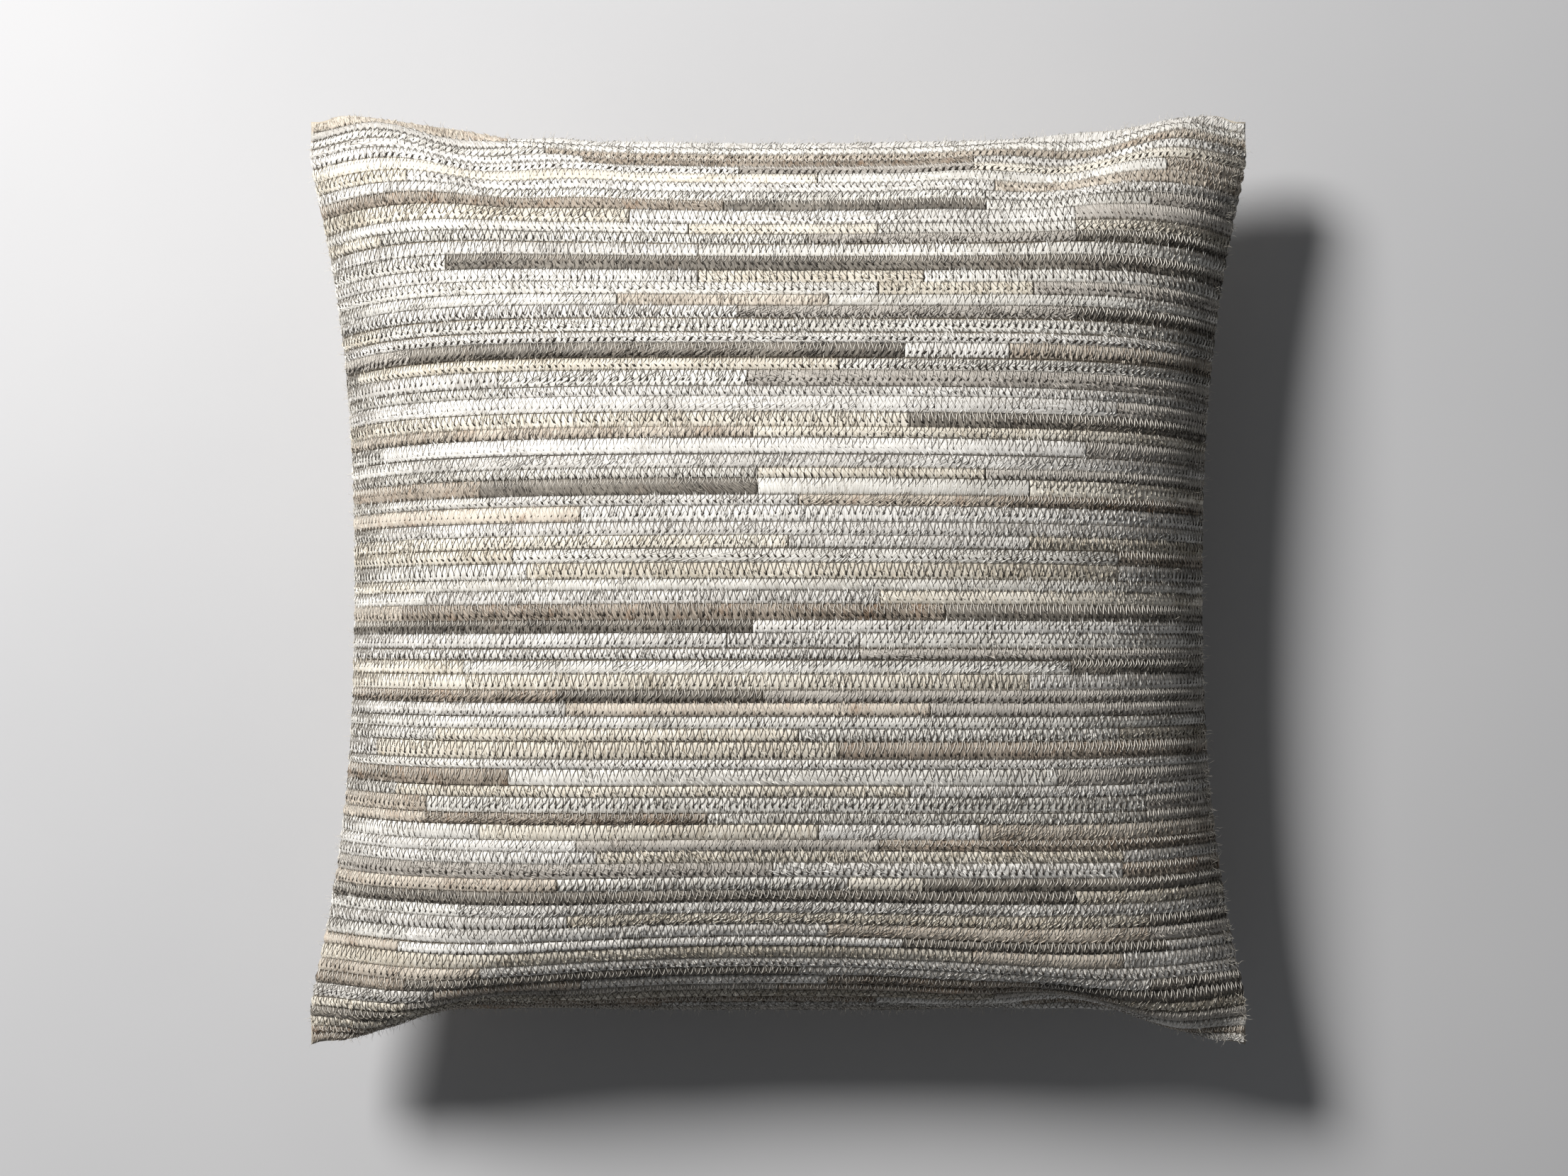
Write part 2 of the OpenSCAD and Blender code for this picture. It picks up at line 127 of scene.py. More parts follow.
def fill_cover(steps):
    """The two panels' points once filled, [panel, row, column, xyz], seam at height 0.

    A cloth simulation: each panel is a net whose threads and diagonals keep their length
    in the flat square, stiffer along the strips than from one strip to the next. Its seam
    is held on the drawn-in outline, and the fill presses it outwards for that many steps.
    """
    across = np.linspace(-1, 1, N + 1)
    s, t = np.meshgrid(across, across)
    seam = np.maximum(np.abs(s), np.abs(t)) > 0.9999
    dome = (np.cos(s * np.pi / 2) * np.cos(t * np.pi / 2)) ** 0.7
    cloth = np.empty((2, N + 1, N + 1, 3))
    for panel, (side, inset) in enumerate([(1, HIDE), (-1, BACK_INSET)]):
        x, y = seam_outline(s, t, inset)
        room = np.where(x < 0, TAB_ROOM, 0)
        beyond = np.clip((np.abs(x) - zip_half - room) / 24, 0, 1)
        parted = (1 - beyond * beyond * (3 - 2 * beyond)) * (t < -0.999)
        rise = side * (SEAM_RISE + ZIP_LIFT * parted)
        filled = side * 80 * dome + 1.5 * soft_noise(12, 3 + panel) * dome
        cloth[panel] = np.stack([x, y, np.where(seam, rise, filled)], -1)
    cell = CUT / N
    # Springs to the neighbour that many rows and columns away: [rows, columns, pull, push]
    springs = [
        [0, 1, 1.0, 1.0], [1, 0, 1.0, 0.05], [1, 1, 0.3, 0.15], [1, -1, 0.3, 0.15],
        [0, 2, 0.6, 0.6], [2, 0, 0.02, 0.02], [0, 4, 0.6, 0.6], [4, 0, 0.02, 0.02]]
    pressure, step, drag, settle_every = 1e-4, 0.12, 0.995, 25
    outward = np.array([1.0, -1.0])[:, None, None, None]
    free = (~seam)[None, :, :, None]
    speed = np.zeros_like(cloth)
    for tick in range(steps):
        force = np.zeros_like(cloth)
        for rows, columns, pull, push in springs:
            here = np.s_[:, :N + 1 - rows, max(0, -columns):N + 1 - max(0, columns)]
            there = np.s_[:, rows:, max(0, columns):N + 1 + min(0, columns)]
            rest = cell * math.hypot(rows, columns)
            apart = cloth[there] - cloth[here]
            length = np.sqrt((apart * apart).sum(-1, keepdims=True))
            stretch = (length - rest) / length
            tension = apart * stretch * np.where(stretch > 0, pull, push)
            force[here] += tension
            force[there] -= tension
        along = cloth[:, 1:-1, 2:] - cloth[:, 1:-1, :-2]
        up = cloth[:, 2:, 1:-1] - cloth[:, :-2, 1:-1]
        force[:, 1:-1, 1:-1] += pressure * outward * np.cross(along, up) / 4
        speed = (speed + force * step) * free * drag
        if tick % settle_every == settle_every - 1:
            speed *= 0.3
        cloth += speed
    for _ in range(2):  # the smallest ripples from row to row are evened out
        middle = cloth[:, 1:-1]
        middle += (cloth[:, :-2] - 2 * middle + cloth[:, 2:]) / 4
    for _ in range(5):  # and more so along the rows, as the strips are stiff that way
        middle = cloth[:, 1:-1, 1:-1]
        middle += (cloth[:, 1:-1, :-2] - 2 * middle + cloth[:, 1:-1, 2:]) / 4
    return cloth


front, back = fill_cover(1300)
front[..., 2] *= (crown_z - HIDE - LOCK_ROOM - seam_z) / front[..., 2].max()
front[..., 2] += seam_z
back[..., 2] *= (seam_z - SEAM_RISE + BELLY_PRESS) / -back[..., 2].min()
back[..., 2] += seam_z
rounding = 1.5  # of the belly's edge, where it leaves the floor
back[..., 2] = (back[..., 2] + np.hypot(back[..., 2], 2 * rounding)) / 2
back[..., 2] -= back[..., 2].min()


def outward_normals(panel, side):
    """Unit normals of a panel, away from the fill."""
    normal = side * np.cross(np.gradient(panel, axis=1), np.gradient(panel, axis=0))
    return normal / np.linalg.norm(normal, axis=-1, keepdims=True)


front_out, back_out = outward_normals(front, 1), outward_normals(back, -1)


def on_net(net, s, t):
    """Points of a smooth surface through a net's nodes, at s and t from -1 to 1.

    Each point is a blend of the sixteen nodes round it: a Catmull-Rom curve of
    Catmull-Rom curves.
    """
    nodes, weights = [], []
    for place in (t, s):
        u = (np.clip(place, -1, 1) + 1) / 2 * N
        first = np.minimum(u.astype(int), N - 1)
        f = (u - first)[..., None]
        weights.append(np.concatenate([
            (-f + 2 * f ** 2 - f ** 3) / 2, (2 - 5 * f ** 2 + 3 * f ** 3) / 2,
            (f + 4 * f ** 2 - 3 * f ** 3) / 2, (f ** 3 - f ** 2) / 2], -1))
        nodes.append(np.clip(first[..., None] + np.arange(-1, 3), 0, N))
    patch = net[nodes[0][..., :, None], nodes[1][..., None, :]]
    return np.einsum("...i,...j,...ijk->...k", weights[0], weights[1], patch)


def on_front(s, t, height):
    """Points that height above the front's backing, at s and t from -1 to 1."""
    out = on_net(front_out, s, t)
    out /= np.linalg.norm(out, axis=-1, keepdims=True)
    return on_net(front, s, t) + out * np.asarray(height)[..., None]


def on_back(s, t, depth):
    """Points that depth inside the back panel's outer face."""
    out = on_net(back_out, s, t)
    out /= np.linalg.norm(out, axis=-1, keepdims=True)
    return on_net(back, s, t) - out * np.asarray(depth)[..., None]


def mesh_piece(name, points, *faces, uv=None, uv_name="surface", **attributes):
    """A mesh object from points in millimetres and one array of faces per number of corners.

    uv is one pair per point, in metres, and each attribute is one number per point.
    """
    mesh = bpy.data.meshes.new(name)
    corners = np.concatenate([f.ravel() for f in faces]).astype(np.int32)
    sizes = np.concatenate([np.full(len(f), f.shape[1]) for f in faces])
    mesh.vertices.add(len(points))
    mesh.vertices.foreach_set("co", (points * MM).astype(np.float32).ravel())
    mesh.loops.add(len(corners))
    mesh.loops.foreach_set("vertex_index", corners)
    mesh.polygons.add(len(sizes))
    starts = np.concatenate([[0], np.cumsum(sizes)[:-1]]).astype(np.int32)
    mesh.polygons.foreach_set("loop_start", starts)
    mesh.update(calc_edges=True)
    mesh.shade_smooth()
    if uv is not None:
        layer = mesh.uv_layers.new(name=uv_name)
        layer.data.foreach_set("uv", uv[corners].astype(np.float32).ravel())
    for key, values in attributes.items():
        mesh.attributes.new(key, "FLOAT", "POINT").data.foreach_set(
            "value", np.asarray(values, np.float32))
    piece = bpy.data.objects.new(name, mesh)
    bpy.context.scene.collection.objects.link(piece)
    return piece


def fit(piece, slot, *nodes, body="pillow"):
    """Rides the piece on its body and lets it stand for those CAD nodes, which it hides. slot is not
    used.
    """
    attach(piece, body)
    if nodes:
        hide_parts(*nodes)


def linear(colour):
    """Linear colour of an sRGB hex value."""
    c = np.array([int(colour[i:i + 2], 16) for i in (1, 3, 5)]) / 255
    return (*np.where(c <= 0.04045, c / 12.92, ((c + 0.055) / 1.055) ** 2.4), 1.0)


def node(tree, kind, inputs=None, **settings):
    """Adds one node, with its settings, and its inputs as values or as links."""
    made = tree.nodes.new("ShaderNode" + kind)
    for key, value in settings.items():
        setattr(made, key, value)
    for key, value in (inputs or {}).items():
        if isinstance(value, bpy.types.NodeSocket):
            tree.links.new(value, made.inputs[key])
        else:
            made.inputs[key].default_value = value
    return made


# ---- The hide strips -------------------------------------------------------------------
# Narrow strips of hair-on cowhide in seven natural tones, of slightly unequal width,
# laid in rows from seam to seam and butted end to end. Each is a 2 mm slab of leather and
# combed-down hair, full in the middle and rolling down to the seams on its long sides.
# Rows from the top down, each from the left: a strip's tone, then the percentage of the row
# at which it ends.
ROWS = [
    "D 22 S 100", "S 22 W 100", "W 26 D 100", "S 30 T 70 S 100", "S 46 G 70 V 100", "V 54 W 90 D 100",
    "V 12 S 72 D 100", "S 20 W 71 S 100", "T 44.5 C 71 W 88 G 100", "V 35 S 80 G 100",
    "W 41 V 60 W 80 V 100", "V 9 W 53 G 80 C 100", "S 42 W 100", "W 16.5 C 100", "S 42 V 64.5 W 100",
    "W 60 V 75.5 G 100", "W 34 D 55 W 100", "S 46 G 80 C 100", "V 8 W 100", "S 100",
    "G 12 C 62.5 S 73 D 100", "W 3.5 V 56 W 100", "S 22 W 47 G 100", "W 23 S 100", "S 84.5 G 100",
    "V 63 C 79.5 C 100", "D 47.5 V 100", "W 7.5 S 81 G 100", "W 12 S 100", "W 48 V 70.5 G 100",
    "T 20 C 48 W 75 V 100", "W 21 S 52 D 73 T 100", "D 30.5 S 100", "W 8 S 100", "V 51 S 75 V 100",
    "V 23.5 W 85 T 100", "W 25 V 85 S 100", "V 12 W 100", "W 13.5 S 60 V 100", "D 10 T 66.5 C 100",
    "C 47.5 S 100", "S 45 S 58 W 100", "S 58 G 100", "V 18 W 79.5 C 100", "V 18.5 V 75 S 100",
    "T 28 C 48.5 G 100", "S 29 D 65 G 100", "W 100", "W 15 V 52 W 85 V 100", "S 6.5 V 56 T 100",
    "W 20 S 100", "T 23 W 78 G 100", "W 10 V 63 S 100", "D 14 W 88 G 100", "D 14 T 43 W 88 G 100",
    "W 20 V 54 S 70 D 100", "S 30 G 60 T 100", "S 32 V 85 S 100", "G 49.5 S 85 T 100",
    "D 28 W 57 V 64.5 C 100", "C 80 V 100", "W 18 S 100", "S 29 V 88 C 100", "W 12 S 55 D 88 G 100",
    "D 11 S 62.5 C 90 S 100", "V 69.5 D 85 S 100", "D 20 S 100", "T 12 C 52 S 88 C 100",
    "S 15 T 30 S 55 T 76.5 C 100", "V 12 G 50 T 85 V 100", "C 10 V 72 G 100", "V 25 T 60 S 100",
    "T 38 S 75 T 100", "T 30 G 70 S 100"]
STRIP_GAPS = [0.15, 0.25, 0.45, 0.9]  # between two rows
GAP_SHARES = [0.35, 0.3, 0.23, 0.12]  # most are shut, a few gape
WIDTH_SPREAD = 0.16  # how unlike the strips' widths are, as a share
BUTT_GAP = 0.7  # between two strips of a row
COLUMN = 1.1  # length of a mesh cell along a strip
row_count = len(ROWS)
ROW = CUT / row_count
# [tone name, lit hair, hair in shade, flecks of rust-brown hair]
TONES = {
    "W": ["white", "#e3e1dc", "#b0aca4", 0.0],
    "V": ["ivory", "#e4dfd4", "#b3aa9a", 0.12],
    "S": ["silver", "#e4e2de", "#a8a49e", 0.05],
    "D": ["sand", "#d3cabd", "#92877a", 0.5],
    "G": ["grey", "#bdb8b1", "#7f7972", 0.1],
    "T": ["taupe", "#aba093", "#4f463c", 0.6],
    "C": ["charcoal", "#8a847b", "#2f2b27", 0.1]}
# How dark each tone is, which picks the thread's colour over it: dark with painted shade over pale
# tones, pale over dark ones
DARKNESS = {"W": 0.0, "V": 0.05, "S": 0.15, "D": 0.5, "G": 0.7, "T": 0.9, "C": 1.0}
edge_draw = np.random.default_rng(5)
row_edges = np.arange(row_count + 1.0)
row_edges[1:-1] += edge_draw.uniform(-WIDTH_SPREAD, WIDTH_SPREAD, row_count - 1)
seam_gaps = edge_draw.choice(STRIP_GAPS, p=GAP_SHARES, size=row_count + 1) / ROW
# Shares across a strip, from its upper seam to its lower one
ACROSS = np.array([0.0, 0.05, 0.2, 0.5, 0.8, 0.95, 1.0])
RING = len(ACROSS) + 2


def across_cut(u):
    """Millimetres above the middle of the cut, at u rows from its top."""
    return HALF_CUT - ROW * np.interp(u, np.arange(row_count + 1), row_edges)


def strips():
    """Each strip as a dictionary: its row, tone, ends in s, and how its hair lies."""
    made = []
    for row, text in enumerate(ROWS):
        words = text.split()
        start = -1.0
        for k in range(0, len(words), 2):
            end = -1 + float(words[k + 1]) / 50
            draw = np.random.default_rng([11, row, k])
            lie = draw.choice([90, 72, 108, 58, 122, 40, 140], p=[.3, .16, .16, .1, .1, .09, .09])
            made.append({
                "row": row, "tone": words[k], "start": start, "end": end,
                "gap_left": BUTT_GAP / CUT if k else 0.0,
                "gap_right": BUTT_GAP / CUT if k + 2 < len(words) else 0.0,
                "lie": math.radians(lie + draw.normal() * 5), "waver": draw.uniform(0, 6.28, 4),
                "shade": draw.normal() * 0.10, "loft": draw.uniform(0.85, 1.1),
                "length": draw.uniform(3.6, 6.4), "draw": draw})
            start = end
    return made


def crown(w):
    """Height of the hair at share w across a strip: full, and rolled down at the seams."""
    w = w % 1.0
    return 0.85 + 1.15 * (1 - np.abs(2 * w - 1) ** 3.0)


def mottle(strip, a):
    """Slow change of tone along a strip at a millimetres: three waves of unlike length."""
    p = strip["waver"]
    return (0.10 * np.sin(a / 31 + p[0]) + 0.08 * np.sin(a / 13 + p[1])
            + 0.05 * np.sin(a / 5.3 + p[2]))


def hair_frame(a, b, strip):
    """Places in metres along and across the way a strip's hair lies."""
    lie = strip["lie"] + 0.22 * np.sin(a / 37 + strip["waver"][3])
    shift = 0.37 * strip["row"]
    return np.stack([
        a * np.cos(lie) + b * np.sin(lie), -a * np.sin(lie) + b * np.cos(lie) + shift], -1) * MM


def strip_shell(strip):
    """A strip's points, hair places, shade and cells: its section carried along its row."""
    left = strip["start"] + strip["gap_left"]
    right = strip["end"] - strip["gap_right"]
    count = max(4, round((right - left) * HALF_CUT / COLUMN))
    s = np.linspace(left, right, count + 1)[:, None] + np.zeros(RING)
    w = np.concatenate([ACROSS, [1.0, 0.0]]) + np.zeros_like(s)
    above, below = seam_gaps[strip["row"]] / 2, seam_gaps[strip["row"] + 1] / 2
    t = across_cut(strip["row"] + above + w * (1 - above - below)) / HALF_CUT
    a = s * HALF_CUT
    height = crown(np.clip(w, 0, 0.9999)) * strip["loft"]
    pinch = 0.5 + 0.5 * np.cos(2 * np.pi * (a / STITCH + 0.5))
    height -= 0.18 * pinch * np.exp(-((w - 0.72) / 0.2) ** 2)
    height += 0.10 * np.sin(a / 7.0 + strip["waver"][0]) + 0.05 * np.sin(a / 2.3 + 5 * w)
    height[:, len(ACROSS):] = 0.1
    shade = strip["shade"] + mottle(strip, a)
    return on_front(s, t, height), hair_frame(a, t * HALF_CUT, strip), shade, count


def ring_faces(count, first):
    """Quads round a strip's section from ring to ring, and triangles that close its ends."""
    ring = np.arange(count)[:, None] * RING + np.arange(RING)[None, :]
    turn = np.roll(np.arange(RING), -1)[None, :] + np.arange(count)[:, None] * RING
    quads = np.stack([ring, ring + RING, turn + RING, turn], -1).reshape(-1, 4)
    cap = np.array([[8, 0, 1], [8, 1, 2], [8, 2, 3], [7, 8, 3], [7, 3, 4], [7, 4, 5], [7, 5, 6]])
    ends = np.concatenate([cap, cap[:, ::-1] + count * RING])
    return quads + first, ends + first


STITCH = 3.6  # length of one zig-zag of the seams


def hair_on_hide(name, lit, shaded, rust):
    """Hair-on cowhide, combed and pressed: fine satiny streaks along the lie of the hair, painted as
    a blend of a lit and a shaded hair colour.

    The streaks are 0.6 mm wide, coarser than real hair, so that they show at arm's length.
    """
    material = bpy.data.materials.new(name)
    material.use_nodes = True
    tree = material.node_tree
    shader = tree.nodes["Principled BSDF"]
    places = node(tree, "UVMap", uv_map="hair")
    combed = node(tree, "Mapping", {"Vector": places.outputs[0],
                                    "Scale": (1 / 0.008, 1 / 0.0006, 1)})
    streaks = node(tree, "TexNoise", {"Vector": combed.outputs[0], "Scale": 1.0, "Detail": 3.0,
                                      "Roughness": 0.6}, noise_dimensions="2D")
    shade = node(tree, "Attribute", attribute_name="shade")
    spread = node(tree, "MapRange", {0: streaks.outputs[0], 1: 0.3, 2: 0.7, 3: -0.5, 4: 0.5})
    total = node(tree, "Math", {0: spread.outputs[0], 1: shade.outputs["Fac"]}, operation="ADD")
    blend = node(tree, "Math", {0: total.outputs[0], 1: 0.6}, operation="ADD", use_clamp=True)
    # The hair's colour runs between painted shade and a painted lit colour, set by the streaks and
    # the shade attribute
    hair = node(tree, "Mix", {0: blend.outputs[0], 6: linear(shaded), 7: linear(lit)},
                data_type="RGBA")
    patches = node(tree, "TexNoise", {"Vector": places.outputs[0], "Scale": 1 / 0.016,
                                      "Detail": 4.0, "Roughness": 0.7}, noise_dimensions="2D")
    rusty = node(tree, "MapRange", {0: patches.outputs[0], 1: 0.55, 2: 0.75, 3: 0.0, 4: rust})
    colour = node(tree, "Mix", {0: rusty.outputs[0], 6: hair.outputs[2],
                                7: linear("#94765c")}, data_type="RGBA")
    bump = node(tree, "Bump", {"Height": streaks.outputs[0], "Distance": 0.0004,
                               "Strength": 0.6})
    tree.links.new(colour.outputs[2], shader.inputs["Base Color"])
    tree.links.new(bump.outputs[0], shader.inputs["Normal"])
    shader.inputs["Roughness"].default_value = 0.62
    shader.inputs["Specular IOR Level"].default_value = 0.3
    shader.inputs["Sheen Weight"].default_value = 0.08
    return material


all_strips = strips()
hide_materials = {}
for tone, (tone_name, lit, shaded, rust) in TONES.items():
    hide_materials[tone] = hair_on_hide("hair_on_cowhide_" + tone_name, lit, shaded, rust)
    points, places, shades, quads, ends = [], [], [], [], []
    first, length = 0, 0.0
    for strip in all_strips:
        if strip["tone"] != tone:
            continue
        shell, place, shade, count = strip_shell(strip)
        body_faces, end_faces = ring_faces(count, first)
        points.append(shell.reshape(-1, 3))
        places.append(place.reshape(-1, 2))
        shades.append(shade.ravel())
        quads.append(body_faces)
        ends.append(end_faces)
        first += shell.shape[0] * RING
        length += (strip["end"] - strip["start"]) * HALF_CUT
    piece = mesh_piece(
        tone_name + "_hide_strips", np.concatenate(points), np.concatenate(quads),
        np.concatenate(ends), uv=np.concatenate(places), uv_name="hair",
        shade=np.concatenate(shades))
    piece.data.materials.append(hide_materials[tone])
    fit(piece, "hide_" + tone_name, "hide_strips_" + tone_name)

# ---- The hair on the strips ------------------------------------------------------------
# The hair lies in flat locks a few millimetres long, parted by the stitches. Each lock is a
# low pointed leaf, rooted in the hide and lifted a little at its tip, one way on each strip.
LOCKS_PER_MM2 = 0.2
LOCK_WIDTH = 0.62
LOCK_RISE = 0.42
# A lock's six points: [share of half its length, share of half its width, height]
LEAF = np.array([
    [-1.0, 0, -0.5], [1.0, 0, 0.25], [-0.1, -1, -0.02], [-0.1, 0, 1.0], [-0.1, 1, -0.02],
    [-0.1, 0, -1.0]])
LEAF_FACES = np.array([
    [0, 3, 2], [0, 4, 3], [0, 5, 4], [0, 2, 5], [1, 2, 3], [1, 3, 4], [1, 4, 5], [1, 5, 2]])


def leaves(a, b, lie, half_length, half_width, rise, w, row_step):
    """Points of leaves centred a and b millimetres across the cut, lying at those angles.

    w is the share across the strip at each leaf's centre.
    """
    along = LEAF[:, 0] * half_length[:, None]
    aside = LEAF[:, 1] * half_width[:, None]
    x = a[:, None] + along * np.cos(lie)[:, None] - aside * np.sin(lie)[:, None]
    rise_y = along * np.sin(lie)[:, None] + aside * np.cos(lie)[:, None]
    y = b[:, None] + rise_y
    over = w[:, None] - rise_y / row_step
    height = crown(over) + LEAF[:, 2] * rise[:, None]
    return on_front(x / HALF_CUT, y / HALF_CUT, height).reshape(-1, 3)


for tone, (tone_name, *_) in TONES.items():
    points, places, shades = [], [], []
    for strip in all_strips:
        if strip["tone"] != tone:
            continue
        draw = strip["draw"]
        span = (strip["end"] - strip["start"]) * HALF_CUT
        count = round(LOCKS_PER_MM2 * span * ROW)
        a = (strip["start"] * HALF_CUT) + draw.uniform(0.4, span - 0.4, count)
        w = draw.uniform(0.08, 0.92, count)
        b = across_cut(strip["row"] + w)
        lie = strip["lie"] + 0.22 * np.sin(a / 37 + strip["waver"][3])
        lie = lie + draw.normal(0, 0.2, count)
        half = strip["length"] * draw.uniform(0.35, 0.62, count)
        leaf = leaves(a, b, lie, half, LOCK_WIDTH * draw.uniform(0.35, 0.65, count),
                      LOCK_RISE * draw.uniform(0.5, 1.25, count), w, ROW)
        points.append(leaf)
        frame_places = hair_frame(a, b, strip)[:, None, :] + np.stack(
            [LEAF[:, 0] * half[:, None], LEAF[:, 1] * 0.3 + 0 * half[:, None]], -1) * MM
        places.append(frame_places.reshape(-1, 2))
        # Each lock takes its own place between the painted lit and painted shaded hair colours,
        # partly at random
        own = strip["shade"] + mottle(strip, a) + draw.normal(-0.03, 0.42, count)
        shades.append(np.repeat(own, len(LEAF)))
    points = np.concatenate(points)
    firsts = np.arange(len(points) // len(LEAF))[:, None, None] * len(LEAF)
    piece = mesh_piece(
        tone_name + "_hair_locks", points, (firsts + LEAF_FACES).reshape(-1, 3),
        uv=np.concatenate(places), uv_name="hair", shade=np.concatenate(shades))
    piece.data.materials.append(hide_materials[tone])
    fit(piece, "hide_" + tone_name)

# ---- The zig-zag seams -----------------------------------------------------------------
# One row of zig-zag stitching joins each row of strips to the next and to the backing. It is
# smoke-tinted nylon, pale over dark hair and dark over pale hair, where the dark is partly its tint
# and partly painted shade for the shadow it casts in the hair. Above the seam the hair buries it;
# below, its points stand in a line of needle holes across the lower strip.
THREAD = 0.22  # half its thickness
stitch_count = round(CUT / STITCH)


def stitches(seam):
    """A seam's zig-zags: millimetres to the upper points, rows reached up and down, lean."""
    draw = np.random.default_rng([23, seam])
    drift = draw.uniform(0, 6.28, 2)
    k = np.arange(stitch_count)
    a = -HALF_CUT + (k + 0.5) * STITCH
    a = a + 0.5 * np.sin(a / 41 + drift[0]) + 0.25 * np.sin(a / 9 + drift[1])
    a = a + draw.normal(0, 0.12, stitch_count)
    reach_down = draw.uniform(0.5, 0.76) + 0.05 * np.sin(a / 53 + drift[1])
    reach_up = draw.uniform(0.10, 0.30) + 0 * a
    lean = draw.uniform(-0.35, 0.35)
    return a, reach_up, reach_down, lean


def darkness_under(row, s):
    """How dark the strip of that row is at each s."""
    words = ROWS[row].split()
    ends = np.array([-1 + float(end) / 50 for end in words[1::2]])
    tones = np.array([DARKNESS[tone] for tone in words[0::2]])
    return tones[np.minimum(np.searchsorted(ends, s), len(tones) - 1)]


def thread_run(seam):
    """Rings of the thread of one seam: up, over the crown of the strip, down, and back."""
    a, up, down, lean = stitches(seam)
    # Points of one zig-zag: [share of its length, rows above the seam, height over the hair]
    offsets = [[0.0, up, -0.5], [0.25, -0.42 * down, 0.30], [0.5, -down, -0.05],
               [0.75, -0.42 * down, 0.30]]
    s, t, height = [], [], []
    for share, reach, lift in offsets:
        s.append((a + (share + lean * (share == 0.5)) * STITCH) / HALF_CUT)
        t.append(across_cut(seam - reach) / HALF_CUT + 0 * a)
        w = (-reach) % 1.0 + 0 * a
        height.append(crown(w) + lift)
    s, t, height = (np.stack(x, 1).ravel() for x in (s, t, height))
    keep = np.abs(s) < 0.998
    s, t, height = s[keep], t[keep], height[keep]
    middle = on_front(s, t, height)
    out = on_front(s, t, height + 1.0) - middle
    side = on_front(np.clip(s + 0.002, -1, 1), t, height) - on_front(
        np.clip(s - 0.002, -1, 1), t, height)
    side /= np.linalg.norm(side, axis=-1, keepdims=True)
    turn = np.radians([90, 210, 330])[None, :, None]
    rings = middle[:, None] + THREAD * (
        np.sin(turn) * out[:, None] + np.cos(turn) * side[:, None])
    under = darkness_under(min(seam, row_count - 1), s)
    return rings, np.repeat(under, 3)


def thread_faces(count, first):
    """Quads along a three-sided thread and a triangle at each end."""
    ring = np.arange(count - 1)[:, None] * 3 + np.arange(3)
    turn = np.arange(count - 1)[:, None] * 3 + np.array([1, 2, 0])
    quads = np.stack([ring, turn, turn + 3, ring + 3], -1).reshape(-1, 4)
    ends = np.array([[0, 2, 1], [count * 3 - 3, count * 3 - 2, count * 3 - 1]])
    return quads + first, ends + first


thread_tint_and_painted_shade = bpy.data.materials.new("smoke_tinted_nylon_thread_and_painted_shade")
thread_tint_and_painted_shade.use_nodes = True
tree = thread_tint_and_painted_shade.node_tree
over = node(tree, "Attribute", attribute_name="over_dark")
# Over pale hair the thread is dark, partly its tint and partly painted shade; over dark hair it is
# pale
tint = node(tree, "Mix", {0: over.outputs["Fac"], 6: linear("#544d45"), 7: linear("#f0ebe2")},
            data_type="RGBA")
tree.links.new(tint.outputs[2], tree.nodes["Principled BSDF"].inputs["Base Color"])
tree.nodes["Principled BSDF"].inputs["Roughness"].default_value = 0.4

for half, seams in (("upper", range(1, row_count // 2)),
                    ("lower", range(row_count // 2, row_count))):
    points, quads, ends, unders, first = [], [], [], [], 0
    for seam in seams:
        rings, under = thread_run(seam)
        run, caps = thread_faces(len(rings), first)
        points.append(rings.reshape(-1, 3))
        quads.append(run)
        ends.append(caps)
        unders.append(under)
        first += len(rings) * 3
    piece = mesh_piece("zigzag_thread_" + half, np.concatenate(points), np.concatenate(quads),
                       np.concatenate(ends), over_dark=np.concatenate(unders))
    piece.data.materials.append(thread_tint_and_painted_shade)
    fit(piece, "hide_grey")

# The needle parts the hair at each lower point and leaves a short slit in the hide, drawn as a dark
# leaf lying on the hair: painted shade for the hollow.
hole_points = []
for seam in range(1, row_count):
    draw = np.random.default_rng([31, seam])
    a, up, down, lean = stitches(seam)
    slant = math.radians(draw.choice([42, 55, 90, 90, 125, 138]))
    lie = slant + draw.normal(0, 0.14, stitch_count)
    centre = a + (0.5 + lean) * STITCH
    inside = np.abs(centre) < HALF_CUT - 1.5
    b = across_cut(seam + down + 0.03)
    size = draw.choice([0.5, 0.85, 1.1, 1.4]) * draw.uniform(0.75, 1.2, stitch_count)
    hole = leaves(centre[inside], b[inside], lie[inside], 1.3 * size[inside],
                  0.46 * size[inside], 0.50 + 0 * size[inside], (down + 0.03)[inside], ROW)
    hole_points.append(hole)
hole_points = np.concatenate(hole_points)
firsts = np.arange(len(hole_points) // len(LEAF))[:, None, None] * len(LEAF)
needle_holes = mesh_piece("needle_holes", hole_points, (firsts + LEAF_FACES).reshape(-1, 3))
# The holes' colour is painted shade: near black, with faint specks
needle_hole_painted_shade = bpy.data.materials.new("painted_shade_in_needle_holes")
needle_hole_painted_shade.use_nodes = True
tree = needle_hole_painted_shade.node_tree
specks = node(tree, "TexNoise", {"Scale": 900.0, "Detail": 1.0,
                                 "Vector": node(tree, "TexCoord").outputs["Object"]})
dark = node(tree, "Mix", {0: specks.outputs[0], 6: linear("#1b1713"), 7: linear("#3b342c")},
            data_type="RGBA")
tree.links.new(dark.outputs[2], tree.nodes["Principled BSDF"].inputs["Base Color"])
tree.nodes["Principled BSDF"].inputs["Roughness"].default_value = 0.9
needle_holes.data.materials.append(needle_hole_painted_shade)
fit(needle_holes, "hide_charcoal")

